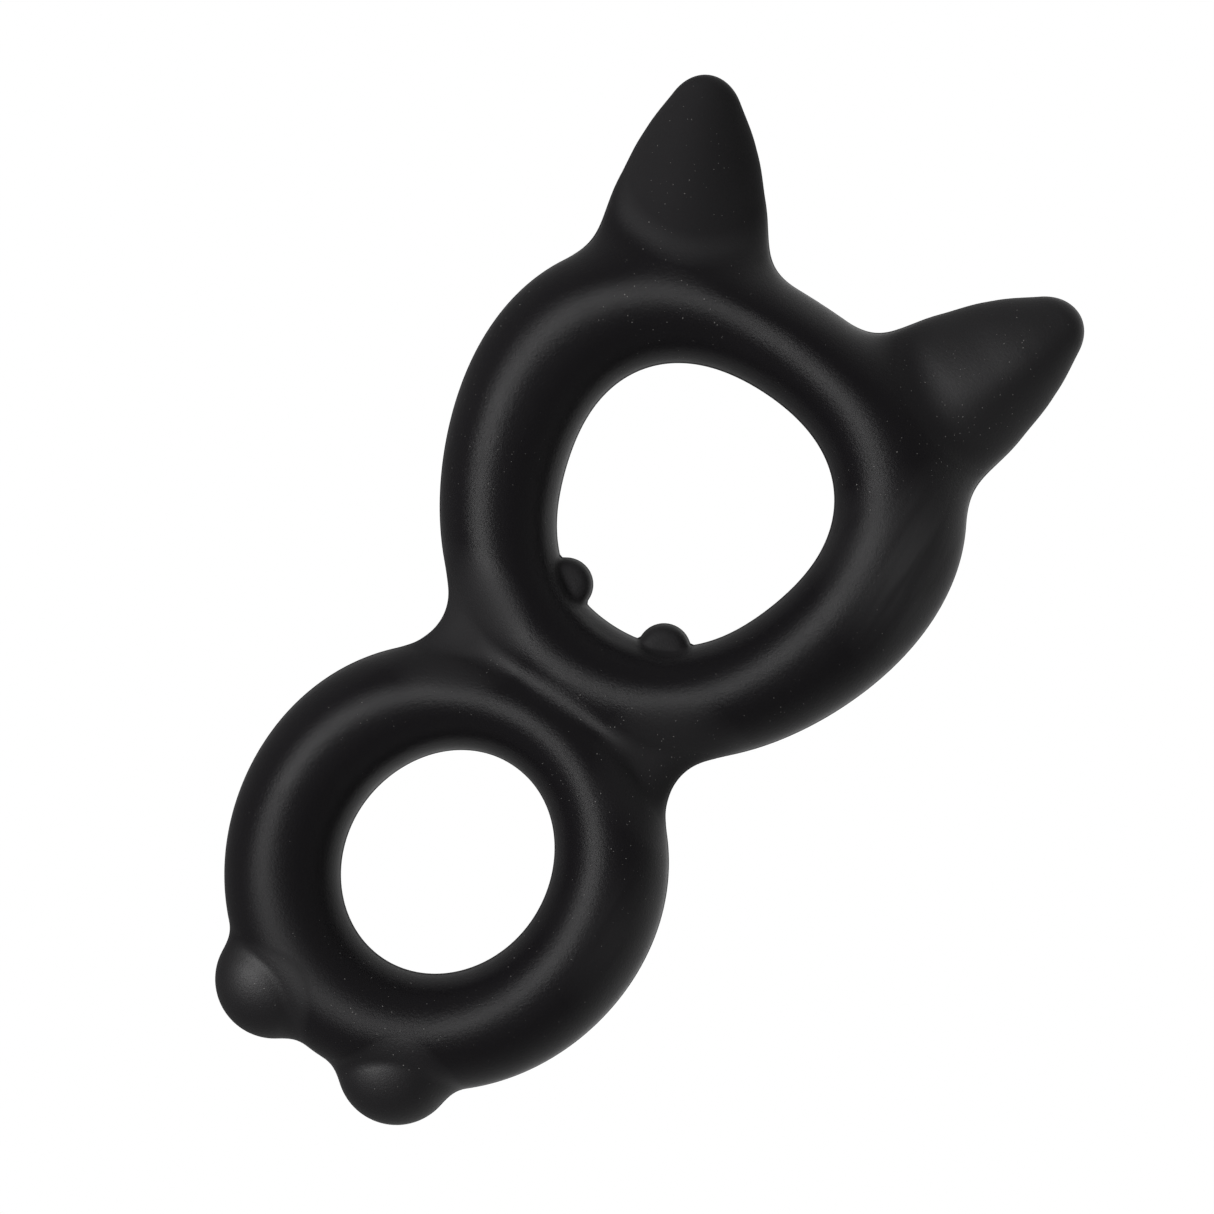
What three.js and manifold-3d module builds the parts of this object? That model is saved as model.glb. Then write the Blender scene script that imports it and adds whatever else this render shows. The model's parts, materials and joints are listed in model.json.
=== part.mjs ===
// A soft silicone double ring: a large ring with two ears, a bridge, and a small ring with two feet.
// It is one moulding. It flexes between the regions below, so each region is a solid of its own.
// Millimetres. It lies flat: +Z up, +Y towards the ears, origin at the centre of its footprint.
import * as THREE from 'three';
import { mergeVertices } from 'three/addons/utils/BufferGeometryUtils.js';
import Module from 'manifold-3d';

const wasm = await Module();
wasm.setup();

// ---- driving dimensions ----------------------------------------------------------------------
const GAP = 0.3;               // clearance between neighbouring regions
const THICKNESS = 12.2;        // both rings and the feet, across the flats
const MID = THICKNESS / 2;     // height of the plane of symmetry
const SIDES = 16;              // sides of a ring's section; one of them lies flat on the table
const STEPS = 48;              // steps around a ring

// A ring's centre line and half width change around it as constant + waves, by the angle t
// from +X: c0 + c1 sin t + c2 cos 2t + c3 sin 3t + c4 cos 4t.
const LARGE = {
  y: 15.85,
  radius: [21.54, 1.19, 0.07, 0.91, -0.32],
  halfWidth: [6.47, 0.18, 0.56, 0.33, -0.07],
};
const SMALL = {
  y: -30.55,
  radius: [17.96, 0.30, -0.50, 0.09, -0.02],
  halfWidth: [6.07, -0.32, 0.27, 0.15, -0.07],
};

const FOLD_Y = -8.6;           // line across the bridge, where the two rings fold on each other
const FOLD_HALF_ANGLE = 30;    // degrees that each side is cut back for the fold
const BRIDGE = { halfWidth: 15.35, halfHeight: 5.3, flare: 0.0105, neck: 1.5 };

const EAR = {
  rootX: 16.99, rootY: 42.05,  // centre of the round root
  lean: 23.6,                  // degrees outwards from +Y
  length: 13.08,               // root centre to tip centre
  rootRadius: 8.82,
  taper: [0.23, 0.0136],       // radius lost per mm, and per square mm, along the ear
  flatness: 0.55,              // thickness over width
};
const EAR_FLAP = { x: 17.2, y: 41.6, lean: 28, halfAngle: 22.5, neck: 0.8 };

const FOOT = { x: 8.11, y: -51.15, radius: 6.35 };
const NUB = { x: 6.39, y: 2.26, radius: 2.84 };

const silicone = () => new THREE.MeshStandardMaterial({ color: 0x0c0b0d, roughness: 0.45, metalness: 0 });
const radians = THREE.MathUtils.degToRad;

// ---- solids ----------------------------------------------------------------------------------
function solid(geometry) {
  const bare = geometry.clone();
  bare.deleteAttribute('normal');
  bare.deleteAttribute('uv');
  const merged = mergeVertices(bare, 1e-4);
  return new wasm.Manifold(new wasm.Mesh({
    numProp: 3,
    vertProperties: new Float32Array(merged.attributes.position.array),
    triVerts: new Uint32Array(merged.index.array),
  }));
}

function geometryOf(manifold) {
  const { vertProperties, triVerts } = manifold.getMesh();
  const geometry = new THREE.BufferGeometry();
  geometry.setAttribute('position', new THREE.BufferAttribute(new Float32Array(vertProperties), 3));
  geometry.setIndex(new THREE.BufferAttribute(new Uint32Array(triVerts), 1));
  geometry.computeVertexNormals();
  return geometry;
}

function wave(c, t) {
  return c[0] + c[1] * Math.sin(t) + c[2] * Math.cos(2 * t) + c[3] * Math.sin(3 * t)
    + c[4] * Math.cos(4 * t);
}

// A whole ring, made thicker by grow all round: a torus with its centre line and width reshaped.
function ring({ y, radius, halfWidth }, grow = 0) {
  const geometry = new THREE.TorusGeometry(10, 5, SIDES, STEPS);
  const place = geometry.attributes.position;
  const halfHeight = MID / Math.cos(Math.PI / SIDES) + grow;
  for (let i = 0; i < place.count; i++) {
    const t = Math.atan2(place.getY(i), place.getX(i));
    const across = Math.hypot(place.getX(i), place.getY(i)) - 10;
    const turn = Math.atan2(place.getZ(i), across) + Math.PI / SIDES;
    const reach = wave(radius, t) + (wave(halfWidth, t) + grow) * Math.cos(turn);
    place.setXYZ(i, reach * Math.cos(t), y + reach * Math.sin(t), MID + halfHeight * Math.sin(turn));
  }
  return solid(geometry);
}

// A flattened ball centred on the plane of symmetry.
function ball(x, y, radius, halfHeight, segments) {
  const geometry = new THREE.SphereGeometry(1, segments, segments / 2);
  geometry.rotateX(Math.PI / 2);
  geometry.scale(radius, radius, halfHeight).translate(x, y, MID);
  return solid(geometry);
}

// A block that fills everything between two values of Y.
function slab(yLow, yHigh) {
  return solid(new THREE.BoxGeometry(100, yHigh - yLow, 40).translate(0, (yLow + yHigh) / 2, MID));
}

// An outline of (distance along `forward`, height above the plane of symmetry), extruded sideways.
function prism(outline, origin, forward) {
  const shape = new THREE.Shape(outline.map(([d, h]) => new THREE.Vector2(d, h)));
  const geometry = new THREE.ExtrudeGeometry(shape, { depth: 100, bevelEnabled: false });
  geometry.translate(0, 0, -50);
  const up = new THREE.Vector3(0, 0, 1);
  const frame = new THREE.Matrix4().makeBasis(forward, up, forward.clone().cross(up));
  geometry.applyMatrix4(frame.setPosition(origin));
  return solid(geometry);
}

// All that lies in front of a V, whose point is `start` ahead of the hinge line.
function aheadOf(start, halfAngle, origin, forward) {
  const height = 15;
  const back = start + height * Math.tan(radians(halfAngle));
  return prism([[start, 0], [back, -height], [80, -height], [80, height], [back, height]],
    origin, forward);
}

// ---- the bridge and the rings ----------------------------------------------------------------
// The strap that joins the rings: a long rounded section whose width flares away from the fold.
function strap() {
  const { halfWidth, halfHeight, flare } = BRIDGE;
  const straight = halfWidth - halfHeight;
  const section = new THREE.Shape();
  section.absarc(straight, 0, halfHeight, -Math.PI / 2, Math.PI / 2);
  section.absarc(-straight, 0, halfHeight, Math.PI / 2, 3 * Math.PI / 2);
  const reach = 7;
  const geometry = new THREE.ExtrudeGeometry(section,
    { depth: 2 * reach, steps: 6, bevelEnabled: false, curveSegments: 6 });
  geometry.translate(0, 0, -reach).rotateX(-Math.PI / 2);
  const place = geometry.attributes.position;
  for (let i = 0; i < place.count; i++) {
    const width = 1 + flare * place.getY(i) ** 2 / 3;
    place.setXYZ(i, place.getX(i) * width, place.getY(i) + FOLD_Y, place.getZ(i) + MID);
  }
  return solid(geometry);
}

const foldLine = new THREE.Vector3(0, FOLD_Y, MID);
const earwards = new THREE.Vector3(0, 1, 0);
const toewards = new THREE.Vector3(0, -1, 0);
const wholeLarge = ring(LARGE);
const wholeSmall = ring(SMALL);
const strapSolid = strap();
const ringSide = (forward) => aheadOf(BRIDGE.neck + GAP, FOLD_HALF_ANGLE, foldLine, forward);

const largeLowerArch = () => wholeLarge.add(strapSolid).intersect(ringSide(earwards))
  .intersect(slab(FOLD_Y, LARGE.y - GAP / 2));

const largeUpperArch = () => wholeLarge.intersect(slab(LARGE.y + GAP / 2, 60));

const smallUpperArch = () => wholeSmall.add(strapSolid).intersect(ringSide(toewards))
  .intersect(slab(SMALL.y + GAP / 2, FOLD_Y));

const smallLowerArch = () => wholeSmall.intersect(slab(-60, SMALL.y - GAP / 2));

// The strap between the two V cuts: narrow at mid height, wider at its top and underside.
function bridge() {
  const height = 15;
  const neck = BRIDGE.neck;
  const wide = neck + height * Math.tan(radians(FOLD_HALF_ANGLE));
  const bowTie = [[-neck, 0], [-wide, -height], [wide, -height], [neck, 0], [wide, height], [-wide, height]];
  return strapSolid.intersect(prism(bowTie, foldLine, earwards));
}

// ---- ears: side is -1 on the left, seen from above with the ears away from the viewer, or 1 ----
// The whole ear with its buried root: a round profile that tapers to the tip, turned and flattened.
function wholeEar(side) {
  const { rootX, rootY, lean, length, rootRadius, taper, flatness } = EAR;
  const radius = (s) => rootRadius - taper[0] * s - taper[1] * s * s;
  const flank = (s) => Math.asin(taper[0] + 2 * taper[1] * s);
  const profile = [];
  const point = (s, angle) => profile.push(
    new THREE.Vector2(Math.max(radius(s) * Math.cos(angle), 0), s + radius(s) * Math.sin(angle)));
  const rootStart = -Math.PI / 2;
  for (let k = 0; k <= 5; k++) point(0, rootStart + (flank(0) - rootStart) * k / 5);
  for (let k = 1; k <= 4; k++) point(length * k / 4, flank(length * k / 4));
  for (let k = 1; k <= 4; k++) point(length, flank(length) + (Math.PI / 2 - flank(length)) * k / 4);
  profile[0].x = 0;
  profile[profile.length - 1].x = 0;
  const geometry = new THREE.LatheGeometry(profile, 20);
  geometry.scale(1, 1, flatness).rotateZ(-side * radians(lean)).translate(side * rootX, rootY, MID);
  return solid(geometry);
}

function earFlap(side) {
  const lean = radians(EAR_FLAP.lean);
  return {
    origin: new THREE.Vector3(side * EAR_FLAP.x, EAR_FLAP.y, MID),
    forward: new THREE.Vector3(side * Math.sin(lean), Math.cos(lean), 0),
  };
}

function ear(side) {
  const { origin, forward } = earFlap(side);
  return wholeEar(side).intersect(aheadOf(EAR_FLAP.neck + GAP, EAR_FLAP.halfAngle, origin, forward));
}

function earRoot(side) {
  const { origin, forward } = earFlap(side);
  return wholeEar(side).subtract(aheadOf(EAR_FLAP.neck, EAR_FLAP.halfAngle, origin, forward))
    .subtract(ring(LARGE, GAP));
}

// ---- nubs inside the large ring, feet under the small ring -----------------------------------
const nub = (side) => ball(side * NUB.x, NUB.y, NUB.radius, NUB.radius, 16).subtract(ring(LARGE, GAP));

const foot = (side) => ball(side * FOOT.x, FOOT.y, FOOT.radius, MID, 20).subtract(ring(SMALL, GAP));

// ---- the object ------------------------------------------------------------------------------
const part = new THREE.Group();
function addRegion(name, manifold) {
  const mesh = new THREE.Mesh(geometryOf(manifold), silicone());
  mesh.name = name;
  part.add(mesh);
}

addRegion('large_ring_lower_arch', largeLowerArch());
addRegion('large_ring_upper_arch', largeUpperArch());
addRegion('bridge', bridge());
addRegion('small_ring_upper_arch', smallUpperArch());
addRegion('small_ring_lower_arch', smallLowerArch());
for (const [word, side] of [['left', -1], ['right', 1]]) {
  addRegion(`${word}_ear_root`, earRoot(side));
  addRegion(`${word}_ear`, ear(side));
  addRegion(`${word}_nub`, nub(side));
  addRegion(`${word}_foot`, foot(side));
}

export default part;
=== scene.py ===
"""A soft black silicone double ring, lying flat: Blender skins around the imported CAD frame.

The CAD regions are parts of one moulding, so the looks come from one smooth form. It is written as a
distance-like field, meshed once, and cut into five skins along planes where neighbouring skins move as
one, so that every joint bends or stretches inside a single skin.
"""
import json
import math

import bmesh
import bpy
import numpy as np
from mathutils import Matrix, Vector


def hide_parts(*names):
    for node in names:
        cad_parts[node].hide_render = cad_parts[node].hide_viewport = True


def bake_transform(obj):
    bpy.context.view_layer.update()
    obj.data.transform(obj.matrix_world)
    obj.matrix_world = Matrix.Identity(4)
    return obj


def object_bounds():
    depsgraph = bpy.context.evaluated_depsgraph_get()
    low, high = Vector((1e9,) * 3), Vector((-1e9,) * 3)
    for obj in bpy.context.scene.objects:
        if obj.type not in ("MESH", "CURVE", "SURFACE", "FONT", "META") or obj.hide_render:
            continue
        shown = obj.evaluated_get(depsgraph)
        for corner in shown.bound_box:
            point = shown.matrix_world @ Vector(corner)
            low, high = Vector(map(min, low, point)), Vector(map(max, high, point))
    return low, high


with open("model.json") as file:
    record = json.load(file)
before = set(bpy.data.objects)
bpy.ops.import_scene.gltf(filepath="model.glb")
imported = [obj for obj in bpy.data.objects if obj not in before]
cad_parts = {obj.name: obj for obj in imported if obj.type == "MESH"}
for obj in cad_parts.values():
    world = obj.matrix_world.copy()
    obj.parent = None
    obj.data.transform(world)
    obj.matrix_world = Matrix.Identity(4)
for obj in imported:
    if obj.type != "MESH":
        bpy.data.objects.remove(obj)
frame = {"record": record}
cad_low, cad_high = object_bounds()
joints = {joint["name"]: joint for joint in frame["record"]["behaviour"]["joints"]}

MM = 0.001

# ---- the form's dimensions, in millimetres ------------------------------------------------------
THICKNESS = (cad_high.z - cad_low.z) / MM
MID = THICKNESS / 2                 # height of the plane of symmetry
HALF_HEIGHT = MID + 0.05            # the underside is pressed flat by this much

# Centre line and half width of each ring, as waves around it: see wave().
LARGE = {
    "y": 15.85,
    "radius": (21.54, 1.19, 0.07, 0.91, -0.32),
    "half_width": (6.47, 0.18, 0.56, 0.33, -0.07),
}
SMALL = {
    "y": -30.55,
    "radius": (17.96, 0.30, -0.50, 0.09, -0.02),
    "half_width": (6.07, -0.32, 0.27, 0.15, -0.07),
}
# Each fillet: its size at mid height, its size at the top and underside, and how fast it changes.
RING_FILLET = (5.95, 1.9, 2.5)
WEB = {"half_width": 13.62, "y": -6.97, "half_length": 5.43, "half_height": 1.9}
WEB_FILLET = (5.19, 1.0, 2.5)

EAR = {
    "root": (16.99, 42.05), "root_radius": 8.82,
    "middle": (19.66, 48.22), "middle_radius": 5.52,
    "tip": (22.14, 53.75), "tip_radius": 3.49, "blend": 4.65,
    "flatness": 0.58, "flatness_slope": 0.015, "slope_from": -6.0, "slope_to": 14.0,
    "typical_height": 8.0,
}
# The ears curl up a little towards their tips, and each has a soft crest along its length.
EAR_LIFT = {
    "from": 22.0, "low": 24.0, "high": 40.0, "ease": 16.0, "curl": 0.14, "lean": 23.6,
    "crest": 1.5, "crest_radius": 3.2, "fold": 0.50, "reach": 10.0,
}
EAR_FILLET = (5.05, 3.4, 2.5)
FOOT = {"x": 8.11, "y": -51.15, "radius": 6.35, "half_height": 5.3, "fillet": (1.6, 0.3, 2.5)}
NUB = {
    "x": 6.39, "y": 2.26, "radius": 2.84, "half_height": 3.1, "face": 2.3, "face_blend": 0.7,
    "fillet": 0.4,
}
FLASH = {"height": 0.10, "half_width": 0.13}   # the mould's parting line
SWAY = -0.0002                      # sideways bow of the whole piece, per mm
TABLE_EDGE = 0.15                   # rounding where the underside meets the table

# ---- the form ------------------------------------------------------------------------------------


def smooth_union(a, b, k):
    h = np.maximum(k - np.abs(a - b), 0) / k
    return np.minimum(a, b) - h * h * k / 4


def wave(c, t):
    return (c[0] + c[1] * np.sin(t) + c[2] * np.cos(2 * t) + c[3] * np.sin(3 * t)
            + c[4] * np.cos(4 * t))


def ellipse(u, v, a, b):
    """About the distance from (u, v) to an ellipse with half axes a and b."""
    reach = np.sqrt((u / a) ** 2 + (v / b) ** 2) + 1e-9
    slope = np.sqrt((u / a ** 2) ** 2 + (v / b ** 2) ** 2) + 1e-9
    return reach * (reach - 1) / slope


def ring_field(x, y, z, ring):
    t = np.arctan2(y - ring["y"], x)
    across = np.hypot(x, y - ring["y"]) - wave(ring["radius"], t)
    return ellipse(across, z, wave(ring["half_width"], t), HALF_HEIGHT)


def by_height(z, fillet):
    """A fillet's size at a height."""
    share = np.clip(1 - (z / HALF_HEIGHT) ** 2, 0, 1) ** fillet[2]
    return fillet[1] + (fillet[0] - fillet[1]) * share


def web_field(x, y, z):
    """A strap between the rings, rounded all round by half its thickness."""
    edge = WEB["half_height"]
    u = np.maximum(np.abs(x) - WEB["half_width"] + edge, 0)
    v = np.maximum(np.abs(y - WEB["y"]) - WEB["half_length"] + edge, 0)
    return np.sqrt(u ** 2 + v ** 2 + z ** 2) - edge


def cone_field(x, y, z, start, end, start_radius, end_radius):
    """A round cone between two balls, with the height z already stretched by its flatness."""
    length = math.dist(start, end)
    ux, uy = (end[0] - start[0]) / length, (end[1] - start[1]) / length
    px, py = x - start[0], y - start[1]
    along = px * ux + py * uy
    away = np.sqrt((px * uy - py * ux) ** 2 + z ** 2)
    k = (start_radius - end_radius) / length
    c = math.sqrt(1 - k * k)
    flank = c * along - k * away
    return np.where(flank < 0, np.hypot(away, along) - start_radius,
                    np.where(flank > c * length, np.hypot(away, along - length) - end_radius,
                             c * away + k * along - start_radius))


def ear_field(x, y, z):
    up = np.clip(y - EAR["root"][1], EAR["slope_from"], EAR["slope_to"])
    flatness = EAR["flatness"] + EAR["flatness_slope"] * up
    mirrored, high = np.abs(x), z / flatness
    lower = cone_field(mirrored, y, high, EAR["root"], EAR["middle"],
                       EAR["root_radius"], EAR["middle_radius"])
    upper = cone_field(mirrored, y, high, EAR["middle"], EAR["tip"],
                       EAR["middle_radius"], EAR["tip_radius"])
    both = smooth_union(lower, upper, EAR["blend"])
    steep = np.sqrt((high / EAR["typical_height"]) ** 2 * (1 / flatness ** 2 - 1) + 1)
    return both / steep


def ball_field(x, y, z, ball):
    """A slightly flattened ball on each side."""
    plan = np.hypot(np.abs(x) - ball["x"], y - ball["y"])
    return ellipse(plan, z, ball["radius"], ball["half_height"])


def nub_field(x, y, z):
    """A ball with flat faces on top and below."""
    return -smooth_union(-ball_field(x, y, z, NUB), NUB["face"] - np.abs(z), NUB["face_blend"])


def form(x, y, z):
    """Negative inside the silicone. x and y as in the frame, z from the plane of symmetry, in mm."""
    x, y = x - SWAY * y * y, y + 2 * SWAY * x * y
    rings = smooth_union(ring_field(x, y, z, LARGE), ring_field(x, y, z, SMALL),
                         by_height(z, RING_FILLET))
    whole = smooth_union(rings, web_field(x, y, z), by_height(z, WEB_FILLET))
    whole = smooth_union(whole, ear_field(x, y, z), by_height(z, EAR_FILLET))
    whole = smooth_union(whole, ball_field(x, y, z, FOOT), by_height(z, FOOT["fillet"]))
    whole = smooth_union(whole, nub_field(x, y, z), NUB["fillet"])
    whole = whole - FLASH["height"] * np.exp(-(z / FLASH["half_width"]) ** 2)
    table = -(z + MID)
    return -smooth_union(-whole, -table, TABLE_EDGE)


# ---- the mesh ------------------------------------------------------------------------------------
SPACING = 0.42                      # between grid planes, in mm
FINE_SPACING = 0.11                 # between levels at the parting line
LEVEL_GROWTH = 1.22                 # from each gap between levels to the next
PROBE = 0.02                        # step for slopes
LEVEL_BAND = 0.8                    # how far from the parting line the grid's levels still hold
LIFT_PROBE = 0.05                   # step for the slopes of the ears' lift
LEAST_SLOPE = 0.05                  # squared, so that a vertex on a crease isn't thrown far
SLIDE = 0.6                         # share of the way to its neighbours' middle, for relax()
CUT_REACH = 1e-5                    # vertices this close to a cut are on it


def levels():
    """Heights for the grid: close together at the parting line, SPACING apart away from it."""
    steps = np.minimum(FINE_SPACING * LEVEL_GROWTH ** np.arange(60), SPACING)
    up = np.cumsum(steps) - FINE_SPACING / 2
    up = up[up < HALF_HEIGHT + 3 * SPACING]
    return np.concatenate([-up[::-1], up])


def slope(points):
    columns = []
    for axis in range(3):
        step = np.zeros(3)
        step[axis] = PROBE
        columns.append(form(*(points + step).T) - form(*(points - step).T))
    return np.stack(columns, 1) / (2 * PROBE)


def unit(vectors):
    return vectors / np.maximum(np.linalg.norm(vectors, axis=1, keepdims=True), 1e-12)


def freedom(points):
    """0 at the parting line, where vertices keep their heights so that its rows stay even, to 1."""
    return np.clip(np.abs(points[:, 2]) / LEVEL_BAND, 0, 1)


def settle(points, rounds):
    """Moves points along the slope onto the surface."""
    for _ in range(rounds):
        steep = slope(points)
        steep[:, 2] *= freedom(points)
        square = np.maximum((steep ** 2).sum(1), LEAST_SLOPE)
        push = (form(*points.T) / square)[:, None] * steep
        points = points - np.clip(push, -SPACING, SPACING)
    return points


def grid_values(xs, ys, zs):
    values = np.empty((len(xs), len(ys), len(zs)), np.float32)
    flat_x, flat_y = np.meshgrid(xs, ys, indexing="ij")
    for k, z in enumerate(zs):
        values[:, :, k] = form(flat_x, flat_y, np.full_like(flat_x, z))
    return values


def surface_net(xs, ys, zs):
    """One vertex in each grid cell that the surface crosses, one quad for each grid edge it crosses."""
    inside = grid_values(xs, ys, zs) < 0
    count = sum(inside[i:len(xs) - 1 + i, j:len(ys) - 1 + j, k:len(zs) - 1 + k].astype(np.int8)
                for i in (0, 1) for j in (0, 1) for k in (0, 1))
    crossed = (count > 0) & (count < 8)
    number = np.full(crossed.shape, -1, np.int32)
    number[crossed] = np.arange(crossed.sum())
    i, j, k = np.nonzero(crossed)
    centres = [(line[1:] + line[:-1]) / 2 for line in (xs, ys, zs)]
    points = np.stack([centres[0][i], centres[1][j], centres[2][k]], 1)
    quads = []
    for axis in range(3):
        near = np.moveaxis(inside, axis, 0)
        cells = np.moveaxis(number, axis, 0)
        changes = near[:-1, 1:-1, 1:-1] != near[1:, 1:-1, 1:-1]
        a, b, c = np.nonzero(changes)
        ring = [cells[a, b, c], cells[a, b + 1, c], cells[a, b + 1, c + 1], cells[a, b, c + 1]]
        quad = np.stack(ring, 1)
        backwards = near[a + 1, b + 1, c + 1] ^ (axis == 1)
        quad[backwards] = quad[backwards][:, ::-1]
        quads.append(quad)
    return points, np.concatenate(quads)


def relax(points, quads, rounds):
    """Evens out the quads: each vertex slides towards its neighbours' middle and back to the surface."""
    ends = np.concatenate([quads[:, [0, 1]], quads[:, [1, 2]], quads[:, [2, 3]], quads[:, [3, 0]]])
    ends = np.concatenate([ends, ends[:, ::-1]])
    amount = np.bincount(ends[:, 0], minlength=len(points))[:, None]
    for _ in range(rounds):
        middle = np.stack([np.bincount(ends[:, 0], points[ends[:, 1], axis], len(points))
                           for axis in range(3)], 1) / amount
        normal = unit(slope(points))
        pull = middle - points
        pull -= (pull * normal).sum(1, keepdims=True) * normal
        pull[:, 2] *= freedom(points)
        points = settle(points + SLIDE * pull, 1)
    return points


def smooth_step(share):
    share = np.clip(share, 0, 1)
    return share ** 2 * (3 - 2 * share)


def ear_lift(x, y):
    """How far the ears' curl and crest raise each place."""
    lean = math.radians(EAR_LIFT["lean"])
    beyond = np.maximum(np.hypot(x, y - LARGE["y"]) - EAR_LIFT["from"], 0)
    beyond = beyond * smooth_step((y - EAR_LIFT["low"]) / (EAR_LIFT["high"] - EAR_LIFT["low"]))
    share = smooth_step(beyond / EAR_LIFT["ease"])
    outward = (np.abs(x) - EAR["root"][0]) * math.cos(lean) - (y - EAR["root"][1]) * math.sin(lean)
    aside = np.hypot(outward - EAR_LIFT["crest"], EAR_LIFT["crest_radius"])
    drop = EAR_LIFT["fold"] * EAR_LIFT["reach"] * np.tanh(aside / EAR_LIFT["reach"])
    return (EAR_LIFT["curl"] * beyond - drop) * share


def make_surface():
    half = (cad_high - cad_low) / MM / 2 + Vector((1.5, 1.5, 0))
    xs = np.arange(-half.x, half.x, SPACING)
    ys = np.arange(-half.y, half.y, SPACING)
    points, quads = surface_net(xs, ys, levels())
    points = settle(points, 3)
    points = relax(points, quads, 4)
    return settle(points, 2), quads


# ---- the skins -----------------------------------------------------------------------------------


def cut(bm, place, away):
    """Removes what lies beyond the plane and closes the hole with flat caps."""
    found = bmesh.ops.bisect_plane(bm, geom=bm.verts[:] + bm.edges[:] + bm.faces[:], dist=CUT_REACH,
                                   plane_co=place, plane_no=away, clear_outer=True)
    rim = [edge for edge in found["geom_cut"] if isinstance(edge, bmesh.types.BMEdge)]
    bmesh.ops.holes_fill(bm, edges=rim, sides=0)


def skin(name, points, quads, planes):
    """The part of the surface that lies behind every plane, as a closed mesh in metres."""
    keep = np.ones(len(points), bool)
    for place, away in planes:
        keep &= (points - np.array(place)) @ np.array(away) < 3 * SPACING
    faces = quads[keep[quads].all(1)]
    used, faces = np.unique(faces, return_inverse=True)
    mesh = bpy.data.meshes.new(name)
    mesh.from_pydata(points[used].tolist(), [], faces.reshape(-1, 4).tolist())
    bm = bmesh.new()
    bm.from_mesh(mesh)
    for place, away in planes:
        cut(bm, place, away)
    bm.to_mesh(mesh)
    bm.free()
    remember_rest(mesh)
    finish_shape(mesh)
    mesh.transform(Matrix.Diagonal((MM, MM, MM, 1)))
    mesh.transform(Matrix.Translation((0, 0, MID * MM)))
    obj = bpy.data.objects.new(name, mesh)
    bpy.context.collection.objects.link(obj)
    return obj


def remember_rest(mesh):
    """Keeps each vertex's place at rest, in mm, so that grain and dust stay put when a skin bends."""
    places = np.empty(len(mesh.vertices) * 3, np.float32)
    mesh.vertices.foreach_get("co", places)
    mesh.attributes.new("rest_mm", "FLOAT_VECTOR", "POINT").data.foreach_set("vector", places)


def finish_shape(mesh):
    """Raises the ears and takes normals straight from the form, so that two skins shade as one across
    a cut; caps stay flat."""
    points = np.empty(len(mesh.vertices) * 3)
    mesh.vertices.foreach_get("co", points)
    points = points.reshape(-1, 3)
    x, y, step = points[:, 0], points[:, 1], LIFT_PROBE
    normals = slope(points)
    normals[:, 0] -= (ear_lift(x + step, y) - ear_lift(x - step, y)) / (2 * step) * normals[:, 2]
    normals[:, 1] -= (ear_lift(x, y + step) - ear_lift(x, y - step)) / (2 * step) * normals[:, 2]
    normals = unit(normals)
    points[:, 2] += ear_lift(x, y)
    mesh.vertices.foreach_set("co", points.ravel())
    corners = np.empty(len(mesh.loops), int)
    mesh.loops.foreach_get("vertex_index", corners)
    corner_normals = normals[corners]
    for face in mesh.polygons:
        if len(face.vertices) > 8:
            corner_normals[face.loop_start:face.loop_start + face.loop_total] = face.normal
    mesh.polygons.foreach_set("use_smooth", np.ones(len(mesh.polygons), bool))
    mesh.normals_split_custom_set(corner_normals.tolist())


def hinge(name):
    """A joint's line as a point and direction, in mm with z from the plane of symmetry."""
    place = Vector(joints[name]["pos_m"]) / MM - Vector((0, 0, MID))
    return place, Vector(joints[name]["axis"]).normalized()


def metres(place):
    return tuple((Vector(place) + Vector((0, 0, MID))) * MM)


SEAM_LARGE = 6.0                    # Y of the cut between the large ring and the bridge
SEAM_SMALL = -20.0                  # Y of the cut between the bridge and the small ring
EAR_SEAM = 2.5                      # cut before the ear's hinge line, towards the ring

outwards, inwards = Vector((0, 1, 0)), Vector((0, -1, 0))
ears = {}
for side in ("left", "right"):
    line, axis = hinge(side + "_ear_flap")
    ears[side] = (line, Vector((0, 0, 1)).cross(axis))

points, quads = make_surface()

large_ring = skin("large_ring_skin", points, quads,
                  [((0, SEAM_LARGE, 0), inwards)]
                  + [(line - EAR_SEAM * ahead, ahead) for line, ahead in ears.values()])
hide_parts("large_ring_lower_arch", "large_ring_upper_arch",
            "left_ear_root", "right_ear_root")
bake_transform(large_ring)

bridge = skin("bridge_skin", points, quads,
              [((0, SEAM_LARGE, 0), outwards), ((0, SEAM_SMALL, 0), inwards)])
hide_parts("bridge", "left_nub", "right_nub")
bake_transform(bridge)

small_ring = skin("small_ring_skin", points, quads, [((0, SEAM_SMALL, 0), outwards)])
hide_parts("small_ring_upper_arch", "small_ring_lower_arch", "left_foot", "right_foot")
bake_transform(small_ring)

skins = [large_ring, bridge, small_ring]
for side, (line, ahead) in ears.items():
    ear = skin(side + "_ear_skin", points, quads, [(line - EAR_SEAM * ahead, -ahead)])
    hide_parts(side + "_ear")
    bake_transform(ear)
    skins.append(ear)

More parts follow.
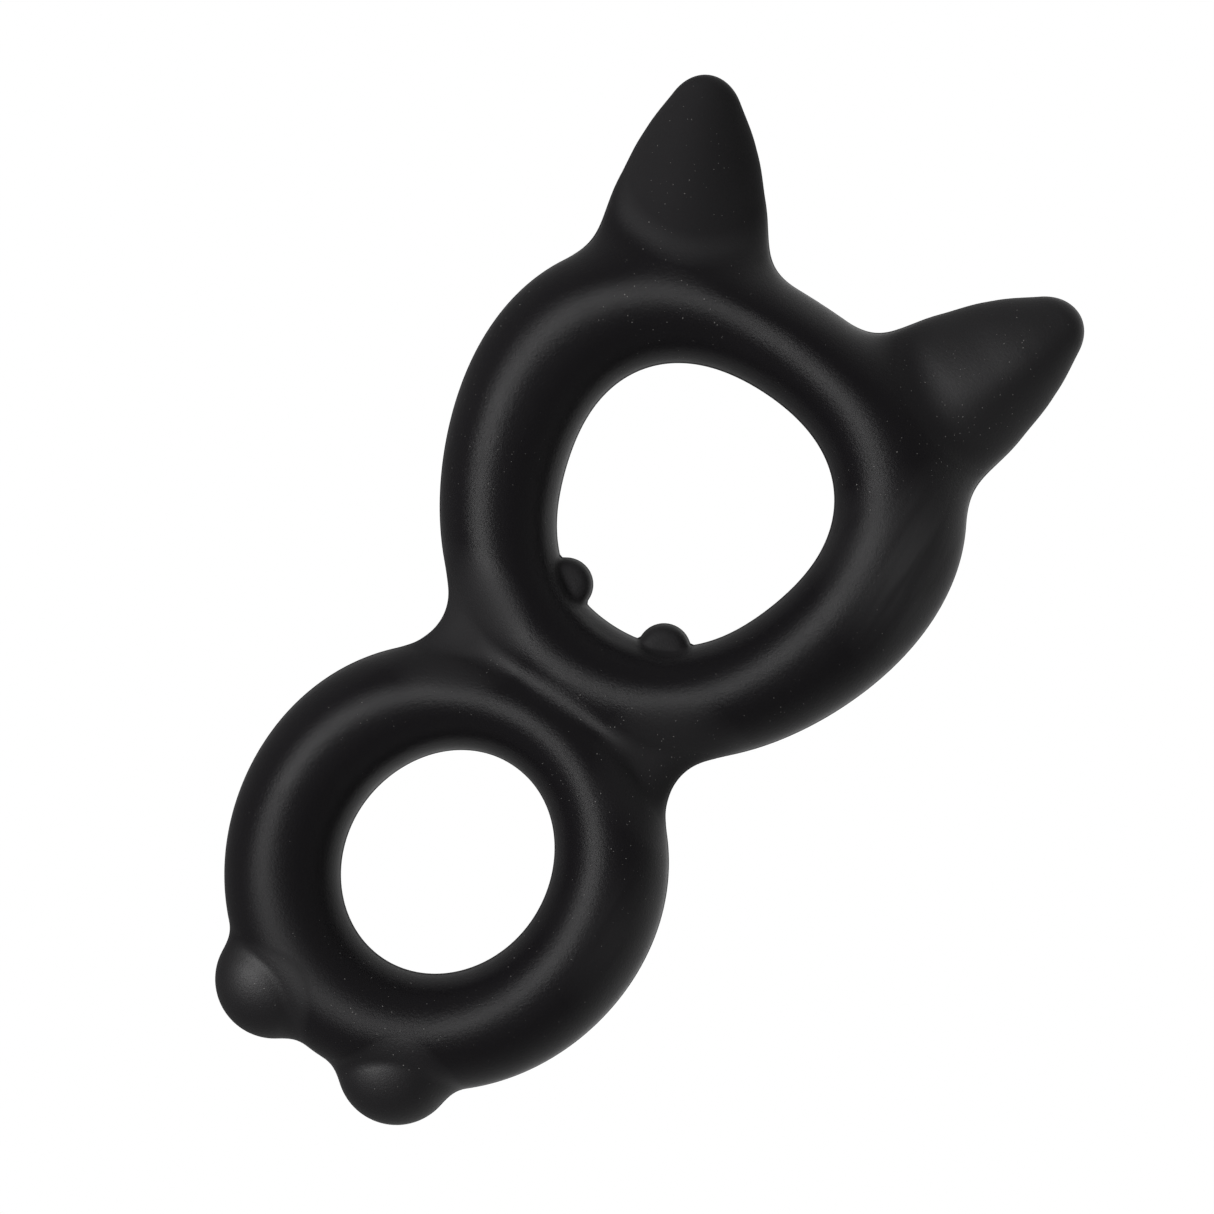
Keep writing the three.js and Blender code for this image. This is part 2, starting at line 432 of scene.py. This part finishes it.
# ---- values of the material ----------------------------------------------------------------------
# A patch: its middle, and the radii in mm where it is full and where it ends.
EAR_PATCH = ((*EAR["middle"], 4.0), 8.0, 12.0)
FOOT_PATCH = ((FOOT["x"], FOOT["y"], 0.0), 6.0, 7.5)
NUB_PATCH = ((NUB["x"], NUB["y"], 0.0), 3.0, 3.8)
NUB_FACE_PATCH = ((NUB["x"], NUB["y"], NUB["face"]), 0.8 * NUB["radius"], 1.1 * NUB["radius"])
WAIST_PATCH = ((14.0, -8.0, 3.0), 3.0, 9.0)
LARGE_FLANK_PATCH = ((26.0, 25.0, 3.0), 3.0, 12.0)       # on the right only
FOOT_END_PATCH = ((-8.0, -44.0, 3.0), 5.0, 17.0)         # mostly on the left
# Painted light: the next two patches make the right flanks paler, where light from the right would fall.
LARGE_PAINTED_LIGHT_PATCH = ((25.5, 25.0, 2.0), 4.0, 13.0)        # on the right only
SMALL_PAINTED_LIGHT_PATCH = ((21.0, -26.0, 2.0), 2.0, 10.0)       # on the right only

GRAIN = (3.2, 3.0, 0.75)            # each noise: scale per mm, detail, roughness
SMUDGE = (0.09, 4.0, 0.55)
CLOUD = (0.03, 2.0, 0.5)
DUST_DRIFT = (0.08, 2.0, 0.5)
PAINTED_LIGHT_STREAKS = (0.5, 3.0, 0.5)
PAINTED_LIGHT_STREAK_STRETCH = (1.0, 0.12, 1.0)  # makes that one long in Y

DARK, LIGHT = (0.0045, 0.0040, 0.0048, 1), (0.0075, 0.0068, 0.0078, 1)
# Painted light: a paler colour on the right flanks that stands in for light from the right, broken into
# streaks.
PAINTED_LIGHT_COLOUR = (0.0295, 0.0290, 0.0298, 1)
PAINTED_LIGHT_AMOUNT = (1.0, 0.5)                   # how much on the large ring and on the small one
PAINTED_LIGHT_STREAK_SHARE = (0.5, 1.0)              # share of it that is kept at the low and at the high end of the streak noise
PAINTED_LIGHT_STREAK_RANGE = (0.35, 0.6)            # of the noise, over which that changes
DUST_COLOUR = (0.30, 0.29, 0.28, 1)
DUST_CELLS = 2.6                    # per mm
DUST_BARE = (0.86, 0.50)            # share of cells without a speck, where it is thinnest and thickest
DUST_DRIFT_RANGE = (0.38, 0.62)
DUST_SPREAD = 0.5                   # how far over that share a cell has to be for the largest speck
DUST_SIZE = 0.20                    # radius of the largest speck, in cells
DUST_EDGE = 0.05
DUST_STRENGTH = 0.45

RING_SHINE = (0.50, 0.56)           # roughness where least and most smudged
SMUDGE_RANGE = (0.3, 0.7)
DULL_SHINE = 0.25                   # added in the dull places, times how dull they are
DUST_SHINE = 0.3                    # added by dust
NUB_SHINE = 0.25                    # added on the nubs' faces
LEFT_EAR_DULL, RIGHT_EAR_DULL = 1.6, 0.3
WAIST_DULL, LARGE_FLANK_DULL, FOOT_END_DULL = 1.2, 1.0, 1.2
EAR_SIDES = (-1.0, 1.0)             # X range over which left becomes right
STRETCH = 1.0                       # anisotropy of the rings
RUN_CHANGE = (-6.0, -11.0)          # Y range over which the finish goes over from ring to ring
GRAIN_DEPTH = 0.00008               # metres
GRAIN_STRENGTH = (0.5, 0.5)         # of the bump, and added on the nubs' faces
IOR = 1.41

# ---- the material --------------------------------------------------------------------------------


class Nodes:
    """A short way to write a node tree: nodes.add(type, inputs by name or number, settings)."""

    def __init__(self, tree):
        self.tree = tree
        tree.nodes.clear()

    def add(self, kind, inputs=None, **properties):
        node = self.tree.nodes.new("ShaderNode" + kind)
        for key, value in properties.items():
            setattr(node, key, value)
        for key, value in (inputs or {}).items():
            if isinstance(value, bpy.types.NodeSocket):
                self.tree.links.new(value, node.inputs[key])
            else:
                node.inputs[key].default_value = value
        return node

    def maths(self, operation, *values):
        return self.add("Math", dict(enumerate(values)), operation=operation).outputs[0]

    def remap(self, value, low, high, to_low, to_high):
        inputs = {"Value": value, "From Min": low, "From Max": high, "To Min": to_low, "To Max": to_high}
        return self.add("MapRange", inputs, clamp=True).outputs["Result"]


def patch(nodes, where, shape, most=1.0):
    """most in the middle of a patch, fading to 0 at its end."""
    middle, inner, outer = shape
    away = nodes.add("VectorMath", {0: where, 1: middle}, operation="DISTANCE").outputs["Value"]
    return nodes.remap(away, inner, outer, most, 0.0)


def largest(nodes, first, *others):
    for other in others:
        first = nodes.maths("MAXIMUM", first, other)
    return first


def noise(nodes, where, kind):
    scale, detail, roughness = kind
    return nodes.add("TexNoise", {"Vector": where, "Scale": scale, "Detail": detail,
                                  "Roughness": roughness}).outputs["Fac"]


def mixed(nodes, share, colour, other):
    return nodes.add("Mix", {"Factor": share, 6: colour, 7: other}, data_type="RGBA").outputs[2]


def run_of_finish(nodes, x, y):
    """The direction that the finish runs in, round each ring."""
    large = nodes.add("CombineXYZ", {0: nodes.maths("SUBTRACT", LARGE["y"], y), 1: x})
    small = nodes.add("CombineXYZ", {0: nodes.maths("SUBTRACT", y, SMALL["y"]),
                                     1: nodes.maths("MULTIPLY", x, -1.0)})
    share = nodes.remap(y, *RUN_CHANGE, 0.0, 1.0)
    return nodes.add("Mix", {"Factor": share, 4: large.outputs[0], 5: small.outputs[0]},
                     data_type="VECTOR").outputs[1]


def dust_specks(nodes, place):
    """A speck in some cells of a fine pattern, with a size of its own, thicker in some places."""
    cells = nodes.add("TexVoronoi", {"Vector": place, "Scale": DUST_CELLS, "Randomness": 1.0})
    dice = nodes.add("SeparateColor", {"Color": cells.outputs["Color"]}).outputs[0]
    bare = nodes.remap(noise(nodes, place, DUST_DRIFT), *DUST_DRIFT_RANGE, *DUST_BARE)
    size = nodes.remap(nodes.maths("SUBTRACT", dice, bare), 0.0, DUST_SPREAD, 0.0, DUST_SIZE)
    inside = nodes.maths("SUBTRACT", size, cells.outputs["Distance"])
    return nodes.maths("MULTIPLY", nodes.remap(inside, 0.0, DUST_EDGE, 0.0, 1.0), DUST_STRENGTH)


def painted_right_light(nodes, place):
    """Painted light: a paler colour on the right flanks, where light from the right would fall, in
    streaks along the piece.
    """
    streaks = nodes.add("VectorMath", {0: place, 1: PAINTED_LIGHT_STREAK_STRETCH}, operation="MULTIPLY").outputs[0]
    left = nodes.remap(noise(nodes, streaks, PAINTED_LIGHT_STREAKS), *PAINTED_LIGHT_STREAK_RANGE, *PAINTED_LIGHT_STREAK_SHARE)
    painted_light_share = largest(nodes, patch(nodes, place, LARGE_PAINTED_LIGHT_PATCH, PAINTED_LIGHT_AMOUNT[0]),
                   patch(nodes, place, SMALL_PAINTED_LIGHT_PATCH, PAINTED_LIGHT_AMOUNT[1]))
    return nodes.maths("MULTIPLY", painted_light_share, left)


def silicone_material():
    material = bpy.data.materials.new("black_silicone")
    material.use_nodes = True
    nodes = Nodes(material.node_tree)
    place = nodes.add("Attribute", attribute_name="rest_mm").outputs["Vector"]
    x, y, z = nodes.add("SeparateXYZ", {0: place}).outputs
    aside = nodes.add("CombineXYZ", {0: nodes.maths("ABSOLUTE", x), 1: y, 2: z}).outputs[0]

    dust = dust_specks(nodes, place)
    colour = mixed(nodes, noise(nodes, place, CLOUD), DARK, LIGHT)
    # Painted light: the right flanks are coloured paler, in streaks, as if lit from the right.
    colour = mixed(nodes, painted_right_light(nodes, place), colour, PAINTED_LIGHT_COLOUR)
    colour = mixed(nodes, dust, colour, DUST_COLOUR)

    # The ears, feet, nubs and waist have an even finish. The left ear and some other places are dull.
    ear, foot = patch(nodes, aside, EAR_PATCH), patch(nodes, aside, FOOT_PATCH)
    even = largest(nodes, ear, foot, patch(nodes, aside, NUB_PATCH), patch(nodes, aside, WAIST_PATCH))
    ear_dull = nodes.remap(x, *EAR_SIDES, LEFT_EAR_DULL, RIGHT_EAR_DULL)
    dull = largest(nodes, nodes.maths("MULTIPLY", ear, ear_dull),
                   patch(nodes, aside, WAIST_PATCH, WAIST_DULL),
                   patch(nodes, place, LARGE_FLANK_PATCH, LARGE_FLANK_DULL),
                   patch(nodes, place, FOOT_END_PATCH, FOOT_END_DULL))
    dull = nodes.maths("MULTIPLY", dull, nodes.maths("SUBTRACT", 1.0, foot))
    nub_face = patch(nodes, aside, NUB_FACE_PATCH)

    shine = nodes.remap(noise(nodes, place, SMUDGE), *SMUDGE_RANGE, *RING_SHINE)
    for amount, added in ((dull, DULL_SHINE), (dust, DUST_SHINE), (nub_face, NUB_SHINE)):
        shine = nodes.maths("MULTIPLY_ADD", amount, added, shine)
    strength = nodes.maths("MULTIPLY_ADD", nub_face, GRAIN_STRENGTH[1], GRAIN_STRENGTH[0])
    bump = nodes.add("Bump", {"Height": noise(nodes, place, GRAIN), "Strength": strength,
                              "Distance": GRAIN_DEPTH})
    stretch = nodes.maths("MULTIPLY_ADD", even, -STRETCH, STRETCH)
    shader = nodes.add("BsdfPrincipled", {"Base Color": colour, "Roughness": shine, "IOR": IOR,
                                          "Anisotropic": stretch, "Tangent": run_of_finish(nodes, x, y),
                                          "Normal": bump.outputs["Normal"]})
    output = nodes.add("OutputMaterial", {"Surface": shader.outputs["BSDF"]})
    output.is_active_output = True
    return material


silicone = silicone_material()
for piece in skins:
    piece.data.materials.append(silicone)

# ---- floor, backdrop and light -------------------------------------------------------------------
FLOOR_SIZE = 6.0
FLOOR_DROP = 0.07                   # the floor is this far below, clear of a ring folded down
AMBIENT = 0.12                      # brightness of the room
LOW_LIGHT = 0.70                    # brightness of the pale set around the object, on its bright side
LOW_LIGHT_TURN = 35.0               # degrees from X to the bright side
LOW_LIGHT_SIDES = (-0.6, 0.7)       # cosine of the turn from there, at the dim end and the bright one
LOW_LIGHT_LEAST = 0.12              # share of it that is left on the dim side
LOW_LIGHT_HEIGHT = (0.60, -0.25)    # where it begins and where it is full, as Z of the direction
FLOOR_COLOUR = (0.85, 0.85, 0.85, 1)
KEY_TOWARDS = (-0.59, -0.21, 0.78)
KEY_DISTANCE = 0.6
KEY_SIZE = 0.36
KEY_RADIANCE = 10.0
FILL_TOWARDS = (-0.05, -0.2, 1.0)
FILL_SIZE = 0.5
FILL_RADIANCE = 0.35


def white_to_camera(nodes, lit):
    """The backdrop is plain white for the camera only; it adds no reflection or light of its own."""
    glow = nodes.add("Emission", {"Color": (1, 1, 1, 1), "Strength": 1.0}).outputs[0]
    camera_ray = nodes.add("LightPath").outputs["Is Camera Ray"]
    return nodes.add("MixShader", {0: camera_ray, 1: lit, 2: glow}).outputs[0]


def make_floor():
    bpy.ops.mesh.primitive_plane_add(size=FLOOR_SIZE, location=(0, 0, -FLOOR_DROP))
    floor = bpy.context.object
    floor.name = "floor"
    floor.visible_glossy = False
    material = bpy.data.materials.new("white_floor")
    material.use_nodes = True
    nodes = Nodes(material.node_tree)
    lit = nodes.add("BsdfDiffuse", {"Color": FLOOR_COLOUR}).outputs[0]
    nodes.add("OutputMaterial", {"Surface": white_to_camera(nodes, lit)})
    floor.data.materials.append(material)


def make_world():
    """A dim room. Low down and on one side it is pale, as a lit table top is in a reflection."""
    world = bpy.data.worlds.new("studio")
    world.use_nodes = True
    nodes = Nodes(world.node_tree)
    towards = nodes.add("TexCoord").outputs["Generated"]
    height = nodes.add("SeparateXYZ", {0: towards}).outputs["Z"]
    level = nodes.add("VectorMath", {0: towards, 1: (1, 1, 0)}, operation="MULTIPLY").outputs[0]
    level = nodes.add("VectorMath", {0: level}, operation="NORMALIZE").outputs[0]
    turn = math.radians(LOW_LIGHT_TURN)
    bright = nodes.add("VectorMath", {0: level, 1: (math.cos(turn), math.sin(turn), 0)},
                       operation="DOT_PRODUCT").outputs["Value"]
    sideways = nodes.remap(bright, *LOW_LIGHT_SIDES, LOW_LIGHT_LEAST, 1.0)
    low = nodes.remap(height, *LOW_LIGHT_HEIGHT, 0.0, 1.0)
    strength = nodes.maths("MULTIPLY_ADD", nodes.maths("MULTIPLY", sideways, low), LOW_LIGHT, AMBIENT)
    dim = nodes.add("Background", {"Color": (1, 1, 1, 1), "Strength": strength}).outputs[0]
    nodes.add("OutputWorld", {"Surface": white_to_camera(nodes, dim)})
    bpy.context.scene.world = world


def softbox(name, place, target, width, height, radiance):
    """An area light of a given brightness; width runs sideways, height upwards, as seen from it."""
    data = bpy.data.lights.new(name, "AREA")
    data.shape = "RECTANGLE"
    data.size, data.size_y = width, height
    data.energy = radiance * math.pi * width * height
    light = bpy.data.objects.new(name, data)
    light.location = place
    light.rotation_euler = (Vector(target) - Vector(place)).to_track_quat("-Z", "Y").to_euler()
    light.visible_camera = False
    bpy.context.collection.objects.link(light)


def make_lights():
    """A key light on the left and a weak, wide one overhead."""
    key = KEY_DISTANCE * Vector(KEY_TOWARDS).normalized()
    fill = KEY_DISTANCE * Vector(FILL_TOWARDS).normalized()
    softbox("key", key, (0, 0, 0), KEY_SIZE, KEY_SIZE, KEY_RADIANCE)
    softbox("fill", fill, (0, 0, 0), FILL_SIZE, FILL_SIZE, FILL_RADIANCE)


make_floor()
make_world()
make_lights()

# ---- camera --------------------------------------------------------------------------------------
VIEW_WIDTH = 131.7                  # mm across the picture at mid height
VIEW_CENTRE = (-1.36, 2.69)         # where the camera points, in mm
VIEW_TURN = 34.06                   # degrees that the camera is turned about Z
LENS, SENSOR = 100.0, 36.0

camera_data = bpy.data.cameras.new("camera")
camera_data.lens, camera_data.sensor_width = LENS, SENSOR
camera = bpy.data.objects.new("camera", camera_data)
camera.location = metres((*VIEW_CENTRE, VIEW_WIDTH * LENS / SENSOR))
camera.rotation_euler = (0, 0, math.radians(VIEW_TURN))
bpy.context.collection.objects.link(camera)
bpy.context.scene.camera = camera
bpy.context.scene.view_settings.view_transform = "Standard"
